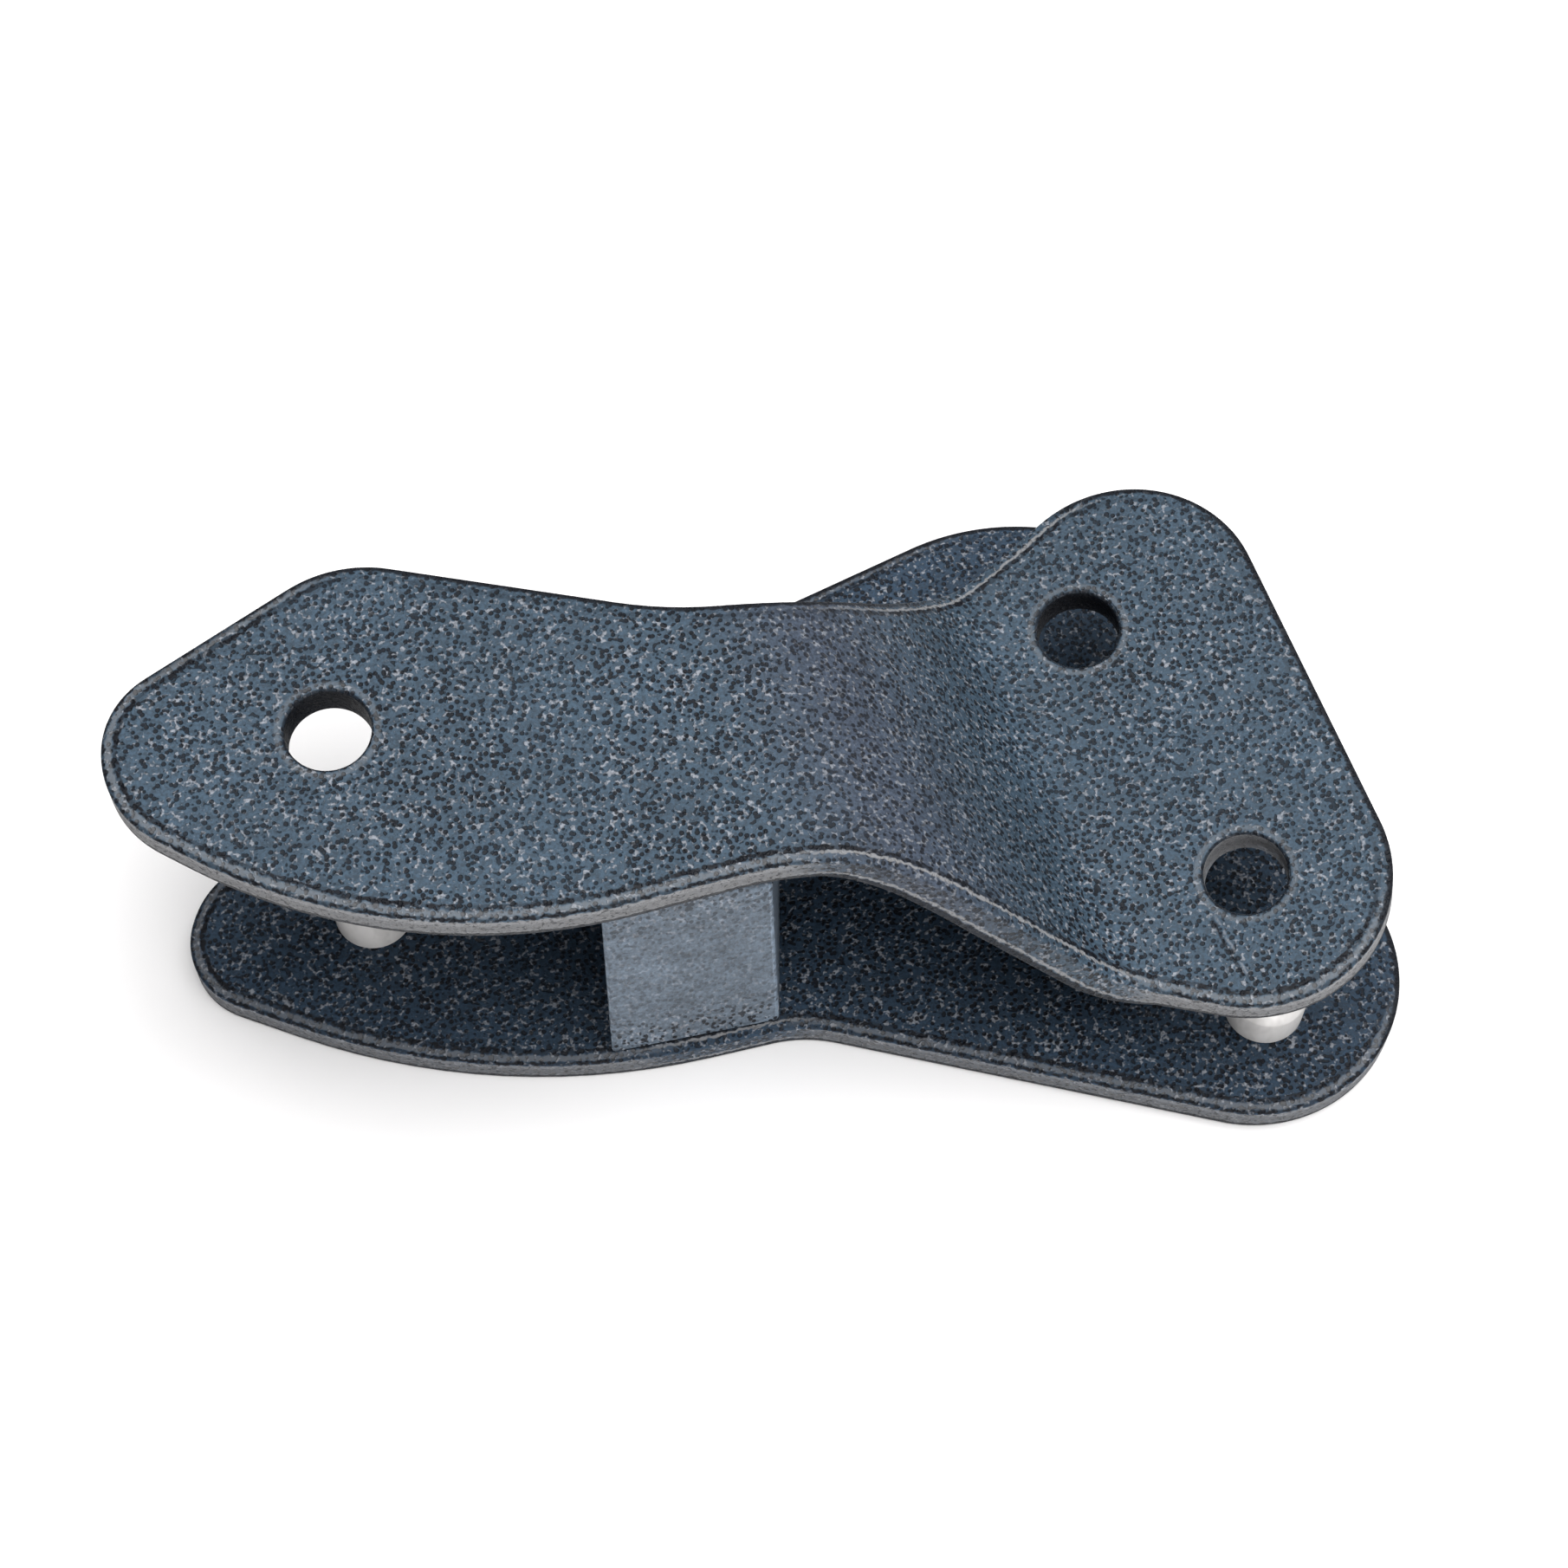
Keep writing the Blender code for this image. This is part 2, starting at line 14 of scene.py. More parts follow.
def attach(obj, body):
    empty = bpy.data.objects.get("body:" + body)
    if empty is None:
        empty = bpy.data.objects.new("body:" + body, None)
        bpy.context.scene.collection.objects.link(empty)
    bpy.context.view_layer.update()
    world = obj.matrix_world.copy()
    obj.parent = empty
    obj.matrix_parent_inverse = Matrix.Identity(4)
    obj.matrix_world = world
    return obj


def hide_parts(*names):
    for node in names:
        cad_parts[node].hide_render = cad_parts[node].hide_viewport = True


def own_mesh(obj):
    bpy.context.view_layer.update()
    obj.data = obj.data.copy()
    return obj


MM = 0.001

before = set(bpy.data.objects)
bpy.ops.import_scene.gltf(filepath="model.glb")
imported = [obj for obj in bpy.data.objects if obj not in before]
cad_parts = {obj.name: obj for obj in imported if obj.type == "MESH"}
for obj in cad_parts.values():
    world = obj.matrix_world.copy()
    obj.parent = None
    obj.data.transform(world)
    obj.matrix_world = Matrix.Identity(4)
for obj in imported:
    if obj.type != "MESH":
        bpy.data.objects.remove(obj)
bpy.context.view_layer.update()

# ---------------------------------------------------------------- sizes of the plates (mm)
# Each outline corner is (x, y, fillet radius), clockwise seen from above.
UPPER_OUTLINE = [
    (-74.7, -7.1, 10.2),
    (-50.1, 11.0, 15.0),
    (3.6, 2.1, 46.0),
    (47.5, 42.0, 15.2),
    (79.1, -40.7, 15.9),
    (5.8, -24.6, 42.0),
    (-40.7, -37.8, 66.0),
    (-74.0, -19.9, 12.8),
]
LOWER_OUTLINE = [
    (-69.6, -9.9, 11.0),
    (-45.3, 4.9, 20.0),
    (-22.2, 16.3, 60.0),
    (44.4, 50.6, 29.5),
    (87.1, -46.5, 18.0),
    (3.0, -28.1, 17.0),
    (-33.3, -37.0, 86.0),
    (-72.6, -22.8, 9.2),
]
ARC_STEP = 2.5  # degrees of fillet arc between outline points

PLATE = 4.5  # thickness of both clappers
LEDGE = 1.1  # width of the shallow chamfer round a plate's top
LEDGE_DROP = 0.25
TOP_ROUND = 0.35
TOP_ROUND_STEPS = 6
BOTTOM_BREAK = 0.4  # broken edge of a plate's bottom rim
BOTTOM_BREAK_STEPS = 3
TOP_RING = 2.4  # inset of the innermost ring of a plate's top
UNDERSIDE_RING = 1.4  # inset of the innermost ring of its underside
RIM_RESET = 0.02  # width in which the rim distance falls back to 0 underneath
LEFT_SHARE = 0.9  # weight of the turn to the left in the 'front' attribute
UPPER_TOP = 48.7  # height of the upper clapper's flat top
UNDERSIDE = UPPER_TOP - PLATE

BEND_ANGLE = 20.0  # plan direction, in degrees from +X, in which the upper clapper drops
BEND_START = -4.5  # distance along that direction at which the drop starts
BEND_SLOPE = 0.98  # fall of its straight stretch
BEND_INTO = 17.0  # length of the curve into that stretch
BEND_OUT = 6.0  # length of the curve out of it
BEND_END = 29.0
RISE_SLOPE = 0.15  # the wide lobe climbs again past the bend
RISE_BLEND = 12.0
BEND_CUTS = 1.0  # spacing of the lines on which the bent plate is divided

HOLE_R = 4.8
HOLES = {"left": (-49.6, -10.3), "right_rear": (35.2, 12.8), "right_front": (53.2, -18.8)}
HOLE_SIDES = 72
HOLE_LIP = 0.45  # rounding of a hole's top edge
HOLE_LIP_STEPS = 5
BORE_MARGIN = 0.05  # wall points lie this close to the hole's radius
CUT_MARGIN = 1.0  # rim values are cleared this far past a cutter's radius
BORE_SHADE = {"left": 0.85, "right_rear": 0.9, "right_front": 1.5}  # below 1 painted shade on a hole's wall, above 1 painted light

# ---------------------------------------------------------------- sizes of the other pieces (mm)
POST_R = 4.75
POST_DOME = 3.4  # height of a post's domed end
POST_DOME_STEPS = 16
POST_FOOT_BREAK = 0.3  # broken edge of a post's foot
POST_BORE_ROOF = 1.0  # least metal between a post's bore and the rim of its dome
POSTS = {
    "left": (-48.9, -13.8, 35.9),
    "right_front": (57.7, -25.9, 13.4),
    "right_rear": (40.2, 7.0, 15.4),
}
POST_BORE_DEPTH = 8.0

M3_HOLE_R = 1.7
M3_HEAD_R = 2.9
M4_HOLE_R = 2.25
M4_HEAD_R = 3.9
SINK_MARGIN = 0.35  # a countersink's mouth is this much wider than the screw head
BLIND_DEPTH = 3.4
GAP = 0.1  # between pieces that meet face to face

PIN_X = -10.1
PIN_Z = 38.0
BRACKET_SCREW_YS = (-18.6, -10.4)
BLOCK_SCREW_YS = (-22.0, -6.0)

BLOCK_FOOT = PLATE + GAP
BLOCK_FOOT_PLAN = [(-19.9, -31.9), (0.0, -27.7), (0.0, 4.4), (-19.9, 4.4)]
BLOCK_TOP_PLAN = [(-19.5, -30.0), (-0.7, -25.8), (-0.7, 4.2), (-19.5, 4.2)]
BLOCK_CREST = 43.4
BLOCK_CREST_HALF = 2.0
BLOCK_SHOULDER_LEFT = 41.9
BLOCK_SHOULDER_RIGHT = 41.4
BLOCK_EDGE = 0.6
BLOCK_EDGE_STEPS = 5
BLOCK_EDGE_ANGLE = 60.0  # degrees between faces above which an edge is rounded
CHANNEL_HALF = 5.0
CHANNEL_FLOOR = 40.3
EAR_YS = (-23.6, -5.4)
SLOT_REACH = 1.4
SLOT_FLOOR = 33.5
PIN_BORE_R = 1.65
PIN_FRONT_Y = -26.5
PIN_REAR_Y = -1.5
SET_SEAT_R = 2.35
INSERT_BORE_R = 3.15
INSERT_TOP = 12.8
SCREW_BORE_TOP = 13.7

SPRING_ARM = 6.6  # distance of each spring from the pin
SPRING_Y = -14.5
SPRING_R = 1.4  # radius of the wire's centre line
SPRING_FLOOR = 34.8
SPRING_TURNS = 6
SPRING_TURN_STEPS = 28
SPRING_CLOSING = 0.35  # how much the pitch closes up towards a spring's ends
WIRE_R = 0.22
WIRE_SIDES = 8
WIRE_SHARP_ANGLE = 50.0
POCKET_R = 1.9

ROUND = 64  # sides of a turned piece
CLEAR = 6.0  # how far a cutter runs past the face that it opens
SHARP_ANGLE = 32.0  # degrees between faces above which an edge stays sharp
FACE_WEIGHT = 90  # how strongly large faces keep their own normals


# ---------------------------------------------------------------- mesh helpers
def link(name, mesh):
    item = bpy.data.objects.new(name, mesh)
    bpy.context.scene.collection.objects.link(item)
    return item


def mesh_object(name, shape):
    bmesh.ops.recalc_face_normals(shape, faces=shape.faces)
    mesh = bpy.data.meshes.new(name)
    shape.to_mesh(mesh)
    shape.free()
    return link(name, mesh)


def rounded_outline(corners):
    """Points of a closed outline whose corners are filleted with arcs."""
    points = []
    for index, (x, y, radius) in enumerate(corners):
        corner = Vector((x, y))
        before = (Vector(corners[index - 1][:2]) - corner).normalized()
        after = (Vector(corners[(index + 1) % len(corners)][:2]) - corner).normalized()
        half = acos(max(-1.0, min(1.0, before.dot(after)))) / 2.0
        middle = corner + (before + after).normalized() * (radius / sin(half))
        first = corner + before * (radius / tan(half)) - middle
        last = corner + after * (radius / tan(half)) - middle
        start = atan2(first.y, first.x)
        sweep = (atan2(last.y, last.x) - start + pi) % (2 * pi) - pi
        steps = max(2, ceil(abs(sweep) / radians(ARC_STEP)))
        for count in range(steps + 1):
            angle = start + sweep * count / steps
            points.append(middle + radius * Vector((cos(angle), sin(angle))))
    return points


def inward(points):
    """Unit directions into a clockwise outline, one for each of its points."""
    directions = []
    for index, point in enumerate(points):
        run = (points[(index + 1) % len(points)] - points[index - 1]).normalized()
        directions.append(Vector((run.y, -run.x)))
    return directions


def quarter(radius, steps):
    """Offsets (inset, rise) along a quarter round that starts on the side and ends on the flat."""
    angles = [pi / 2 * step / steps for step in range(steps + 1)]
    return [(radius * (1 - cos(a)), radius * sin(a)) for a in angles]


def prism(name, plan, low, high):
    """Upright solid over a closed plan, between two heights."""
    shape = bmesh.new()
    face = shape.faces.new([shape.verts.new((x * MM, y * MM, low * MM)) for x, y in plan])
    extruded = bmesh.ops.extrude_face_region(shape, geom=[face])["geom"]
    raised = [part for part in extruded if isinstance(part, bmesh.types.BMVert)]
    bmesh.ops.translate(shape, vec=(0, 0, (high - low) * MM), verts=raised)
    return mesh_object(name, shape)


def box(name, low, high):
    plan = [(low[0], low[1]), (high[0], low[1]), (high[0], high[1]), (low[0], high[1])]
    return prism(name, plan, low[2], high[2])


def turned(name, profile, at, axis=(0, 0, 1), sides=ROUND):
    """Round solid from (radius, height) points, spun about an axis through the point 'at'."""
    shape = bmesh.new()
    rings = []
    for radius, height in profile:
        if radius == 0.0:
            rings.append([shape.verts.new((0, 0, height * MM))])
            continue
        angles = [2 * pi * side / sides for side in range(sides)]
        around = [(radius * cos(a) * MM, radius * sin(a) * MM, height * MM) for a in angles]
        rings.append([shape.verts.new(point) for point in around])
    pairs = list(zip(rings, rings[1:]))
    if profile[0][0] > 0.0 and profile[-1][0] > 0.0:
        pairs.append((rings[-1], rings[0]))
    for lower, upper in pairs:
        for side in range(sides):
            nxt = (side + 1) % sides
            corners = [lower[side % len(lower)], lower[nxt % len(lower)]]
            corners += [upper[nxt % len(upper)], upper[side % len(upper)]]
            shape.faces.new(list(dict.fromkeys(corners)))
    turn = Vector((0, 0, 1)).rotation_difference(Vector(axis)).to_matrix().to_4x4()
    bmesh.ops.transform(shape, matrix=Matrix.Translation(Vector(at) * MM) @ turn, verts=shape.verts)
    return mesh_object(name, shape)


def cut(item, cutters):
    """Subtract the cutters from a piece and remove them."""
    for cutter in cutters:
        modifier = item.modifiers.new(cutter.name, "BOOLEAN")
        modifier.operation = "DIFFERENCE"
        modifier.solver = "EXACT"
        modifier.object = cutter
    settle(item)
    for cutter in cutters:
        bpy.data.objects.remove(cutter, do_unlink=True)


def settle(item):
    """Apply a piece's modifiers to its mesh."""
    graph = bpy.context.evaluated_depsgraph_get()
    graph.update()
    mesh = bpy.data.meshes.new_from_object(item.evaluated_get(graph))
    item.modifiers.clear()
    item.data = mesh


def shade(item):
    """Smooth shading with flat faces kept flat by their size."""
    item.data.shade_smooth()
    item.data.set_sharp_from_angle(angle=radians(SHARP_ANGLE))
    weighted = item.modifiers.new("weighted", "WEIGHTED_NORMAL")
    weighted.keep_sharp = True
    weighted.weight = FACE_WEIGHT
    settle(item)


def dome(radius, tip, height, steps):
    """Profile points of a shallow dome, from its rim to its tip."""
    sphere = (radius * radius + height * height) / (2 * height)
    spread = acos(1.0 - height / sphere)
    angles = [spread * (1 - step / steps) for step in range(steps)]
    rise = [(sphere * sin(a), tip - sphere * (1 - cos(a))) for a in angles]
    return rise + [(0.0, tip)]


# ---------------------------------------------------------------- plates
def ramp(distance, start, length):
    """Climb that starts level and blends to a slope of 1 over a length: its height and slope."""
    past = max(distance - start, 0.0)
    blended = min(past, length)
    return blended * blended / (2 * length) + past - blended, blended / length


def bend_height(distance):
    """Height of the upper clapper's top at a distance along the drop's direction, and its slope."""
    into, into_slope = ramp(distance, BEND_START, BEND_INTO)
    out, out_slope = ramp(distance, BEND_END - BEND_OUT, BEND_OUT)
    rise, rise_slope = ramp(distance, BEND_END, RISE_BLEND)
    height = UPPER_TOP - BEND_SLOPE * (into - out) + RISE_SLOPE * rise
    return height, RISE_SLOPE * rise_slope - BEND_SLOPE * (into_slope - out_slope)


def on_bend(x, y, depth):
    """Point at a depth below the bent top surface, and the surface's normal there."""
    along = Vector((cos(radians(BEND_ANGLE)), sin(radians(BEND_ANGLE)), 0.0))
    height, slope = bend_height(x * along.x + y * along.y)
    normal = (Vector((0, 0, 1)) - along * slope).normalized()
    return Vector((x, y, height)) - normal * depth, normal


def plate_profile():
    """(inset, height, distance out from the flat top) from the top's inside to the underside's.

    The distance is 0 again on the underside, so both flat faces have the plain coat.
    """
    side_top = PLATE - LEDGE_DROP - TOP_ROUND
    top_round = reversed(quarter(TOP_ROUND, TOP_ROUND_STEPS))
    bottom_break = quarter(BOTTOM_BREAK, BOTTOM_BREAK_STEPS)
    places = [(TOP_RING, PLATE), (TOP_ROUND + LEDGE, PLATE)]
    places += [(inset, side_top + rise) for inset, rise in top_round]
    places += [(inset, BOTTOM_BREAK - rise) for inset, rise in bottom_break]
    profile = [(*places[0], 0.0)]
    for (inset, height), (inset_before, height_before) in zip(places[1:], places):
        step = Vector((inset - inset_before, height - height_before)).length
        profile.append((inset, height, profile[-1][2] + step))
    return profile + [(BOTTOM_BREAK + RIM_RESET, 0.0, 0.0), (UNDERSIDE_RING, 0.0, 0.0)]


def plate(name, corners):
    """Flat plate with rounded rims.

    The 'rim' attribute is the distance (mm) out from the top; 'front' is how far the rim turns
    to the front and the left.
    """
    shape = bmesh.new()
    rim = shape.verts.layers.float.new("rim")
    front = shape.verts.layers.float.new("front")
    points = rounded_outline(corners)
    directions = inward(points)
    rings = []
    for inset, height, distance in plate_profile():
        ring = []
        for point, direction in zip(points, directions):
            x, y = point + direction * inset
            vert = shape.verts.new((x * MM, y * MM, height * MM))
            vert[rim] = distance
            vert[front] = direction.y + LEFT_SHARE * direction.x
            ring.append(vert)
        rings.append(ring)
    for upper, lower in zip(rings, rings[1:]):
        for index in range(len(points)):
            nxt = (index + 1) % len(points)
            shape.faces.new([upper[index], upper[nxt], lower[nxt], lower[index]])
    shape.faces.new(rings[0])
    shape.faces.new(rings[-1][::-1])
    return mesh_object(name, shape)


def bend(item):
    """Carry a flat plate onto the bent surface of the upper clapper."""
    across = Vector((cos(radians(BEND_ANGLE)), sin(radians(BEND_ANGLE)), 0.0))
    shape = bmesh.new()
    shape.from_mesh(item.data)
    last = BEND_END + RISE_BLEND
    cuts = ceil((last - BEND_START) / BEND_CUTS)
    for count in range(cuts + 1):
        line = across * (BEND_START + (last - BEND_START) * count / cuts) * MM
        everything = shape.verts[:] + shape.edges[:] + shape.faces[:]
        bmesh.ops.bisect_plane(shape, geom=everything, plane_co=line, plane_no=across)
    for vert in shape.verts:
        x, y, z = vert.co / MM
        point, _ = on_bend(x, y, PLATE - z)
        vert.co = point * MM
    shape.to_mesh(item.data)
    shape.free()


def clear_rim(item, centres, reach):
    """Set 'rim' to 0 on what a cutter left, within reach of the given plan points."""
    values = item.data.attributes["rim"].data
    for vert, value in zip(item.data.vertices, values):
        if any(hypot(vert.co.x / MM - x, vert.co.y / MM - y) < reach for x, y in centres):
            value.value = 0.0


def mark_bore(item, x, y, tone):
    """Mark the wall of a hole with a negative 'rim': 0 to -1 painted shade, -1 to -2 painted light.
    """
    middle, normal = on_bend(x, y, 0.0)
    values = item.data.attributes["rim"].data
    for vert, value in zip(item.data.vertices, values):
        if (vert.co / MM - middle).cross(normal).length < HOLE_R + BORE_MARGIN:
            value.value = -tone


def hole_cutter(name, x, y):
    """Straight hole whose top edge is rounded over."""
    middle, normal = on_bend(x, y, 0.0)
    profile = [(0.0, -PLATE - CLEAR), (HOLE_R, -PLATE - CLEAR)]
    lip = quarter(HOLE_LIP, HOLE_LIP_STEPS)
    profile += [(HOLE_R + inset, rise - HOLE_LIP) for inset, rise in lip]
    profile += [(HOLE_R + HOLE_LIP, CLEAR), (0.0, CLEAR)]
    return turned("hole_" + name, profile, middle, normal, HOLE_SIDES)


def countersink(name, x, y, hole_r, head_r):
    """Screw hole that widens at 45 degrees to a mouth in the underside of the lower plate."""
    mouth = head_r + SINK_MARGIN
    profile = [(0.0, -CLEAR), (mouth + CLEAR, -CLEAR), (hole_r, mouth - hole_r)]
    profile += [(hole_r, PLATE + CLEAR), (0.0, PLATE + CLEAR)]
    return turned(name, profile, (x, y, 0.0))


def make_upper_plate():
    item = plate("upper_plate", UPPER_OUTLINE)
    bend(item)
    cutters = [hole_cutter(name, x, y) for name, (x, y) in HOLES.items()]
    for y in BRACKET_SCREW_YS:
        profile = [(0.0, -CLEAR), (M3_HOLE_R, -CLEAR), (M3_HOLE_R, BLIND_DEPTH), (0.0, BLIND_DEPTH)]
        cutters.append(turned("blind", profile, (PIN_X, y, UNDERSIDE)))
    cut(item, cutters)
    centres = [*HOLES.values(), *((PIN_X, y) for y in BRACKET_SCREW_YS)]
    clear_rim(item, centres, HOLE_R + CUT_MARGIN)
    for name, (x, y) in HOLES.items():
        mark_bore(item, x, y, BORE_SHADE[name])
    shade(item)
    return item


def make_lower_plate():
    item = plate("lower_plate", LOWER_OUTLINE)
    cutters = [countersink(name, x, y, M3_HOLE_R, M3_HEAD_R) for name, (x, y, _) in POSTS.items()]
    cutters += [countersink("sink", PIN_X, y, M4_HOLE_R, M4_HEAD_R) for y in BLOCK_SCREW_YS]
    cut(item, cutters)
    centres = [(x, y) for x, y, _ in POSTS.values()] + [(PIN_X, y) for y in BLOCK_SCREW_YS]
    clear_rim(item, centres, M4_HEAD_R + CUT_MARGIN)
    shade(item)
    return item


# ---------------------------------------------------------------- spine block
def block_body():
    """The block before its cuts, with a flat crest between two sloping shoulders."""
    shape = bmesh.new()
    foot = [shape.verts.new((x * MM, y * MM, BLOCK_FOOT * MM)) for x, y in BLOCK_FOOT_PLAN]
    front_left, front_right, rear_right, rear_left = BLOCK_TOP_PLAN
    ends = []
    for left, right in ((front_left, front_right), (rear_left, rear_right)):
        roof = [(*left, BLOCK_SHOULDER_LEFT)]
        for x in (PIN_X - BLOCK_CREST_HALF, PIN_X + BLOCK_CREST_HALF):
            share = (x - left[0]) / (right[0] - left[0])
            roof.append((x, left[1] + share * (right[1] - left[1]), BLOCK_CREST))
        roof.append((*right, BLOCK_SHOULDER_RIGHT))
        ends.append([shape.verts.new(Vector(point) * MM) for point in roof])
    front, rear = ends
    shape.faces.new([foot[0], foot[1]] + front[::-1])
    shape.faces.new([foot[2], foot[3]] + rear)
    shape.faces.new(foot)
    shape.faces.new([foot[3], foot[0], front[0], rear[0]])
    shape.faces.new([foot[1], foot[2], rear[3], front[3]])
    for step in range(len(front) - 1):
        shape.faces.new([front[step], front[step + 1], rear[step + 1], rear[step]])
    return mesh_object("block", shape)


def make_block():
    """The block with its channel, bracket slots, spring pockets, pin bore and insert bores."""
    item = block_body()
    bevel = item.modifiers.new("edges", "BEVEL")
    bevel.width = BLOCK_EDGE * MM
    bevel.segments = BLOCK_EDGE_STEPS
    bevel.limit_method = "ANGLE"
    bevel.angle_limit = radians(BLOCK_EDGE_ANGLE)
    top = BLOCK_CREST + CLEAR
    front_ear, rear_ear = EAR_YS
    low = (PIN_X - CHANNEL_HALF, front_ear, CHANNEL_FLOOR)
    cutters = [box("channel", low, (PIN_X + CHANNEL_HALF, rear_ear, top))]
    for y in EAR_YS:
        low = (PIN_X - CHANNEL_HALF, y - SLOT_REACH, SLOT_FLOOR)
        cutters.append(box("slot", low, (PIN_X + CHANNEL_HALF, y + SLOT_REACH, top)))
    for side in (-1, 1):
        profile = [(0.0, SPRING_FLOOR), (POCKET_R, SPRING_FLOOR), (POCKET_R, top), (0.0, top)]
        cutters.append(turned("pocket", profile, (PIN_X + side * SPRING_ARM, SPRING_Y, 0.0)))
    profile = [(0.0, PIN_FRONT_Y), (PIN_BORE_R, PIN_FRONT_Y), (PIN_BORE_R, PIN_REAR_Y)]
    profile += [(SET_SEAT_R, PIN_REAR_Y), (SET_SEAT_R, CLEAR * 2), (0.0, CLEAR * 2)]
    cutters.append(turned("pin_bore", profile, (PIN_X, 0.0, PIN_Z), (0, 1, 0)))
    for y in BLOCK_SCREW_YS:
        profile = [(0.0, -CLEAR), (INSERT_BORE_R, -CLEAR), (INSERT_BORE_R, INSERT_TOP)]
        profile += [(M4_HOLE_R, INSERT_TOP), (M4_HOLE_R, SCREW_BORE_TOP), (0.0, SCREW_BORE_TOP)]
        cutters.append(turned("insert_bore", profile, (PIN_X, y, 0.0)))
    cut(item, cutters)
    shade(item)
    return item


# ---------------------------------------------------------------- posts and springs
def make_post(name, x, y, tip):
    """Striker post with a domed end and a blind bore for its screw."""
    foot = PLATE + GAP
    rim = tip - POST_DOME
    bore_top = foot + min(POST_BORE_DEPTH, rim - foot - POST_BORE_ROOF)
    profile = [(0.0, bore_top), (M3_HOLE_R, bore_top), (M3_HOLE_R, foot)]
    profile += [(POST_R - POST_FOOT_BREAK, foot), (POST_R, foot + POST_FOOT_BREAK)]
    profile += dome(POST_R, tip, POST_DOME, POST_DOME_STEPS)
    item = turned("post_" + name, profile, (x, y, 0.0))
    shade(item)
    return item


def make_spring(name, side):
    """Coil spring whose pitch closes up towards its ends, as one swept mesh."""
    low = SPRING_FLOOR + GAP + WIRE_R
    high = UNDERSIDE - GAP - WIRE_R
    count = SPRING_TURN_STEPS * SPRING_TURNS
    shape = bmesh.new()
    rings = []
    for index in range(count + 1):
        share = index / count
        eased = share * share * (3 - 2 * share)
        rise = eased * SPRING_CLOSING + share * (1 - SPRING_CLOSING)
        angle = 2 * pi * SPRING_TURNS * share
        outward = Vector((cos(angle), sin(angle), 0.0))
        middle = Vector((PIN_X + side * SPRING_ARM, SPRING_Y, low + rise * (high - low)))
        middle += outward * SPRING_R
        turns = [2 * pi * step / WIRE_SIDES for step in range(WIRE_SIDES)]
        offsets = [outward * cos(t) * WIRE_R + Vector((0, 0, sin(t) * WIRE_R)) for t in turns]
        rings.append([shape.verts.new((middle + offset) * MM) for offset in offsets])
    for before, after in zip(rings, rings[1:]):
        for step in range(WIRE_SIDES):
            nxt = (step + 1) % WIRE_SIDES
            shape.faces.new([before[step], before[nxt], after[nxt], after[step]])
    shape.faces.new(rings[0])
    shape.faces.new(rings[-1])
    item = mesh_object(name, shape)
    item.data.shade_smooth()
    item.data.set_sharp_from_angle(angle=radians(WIRE_SHARP_ANGLE))
    return item


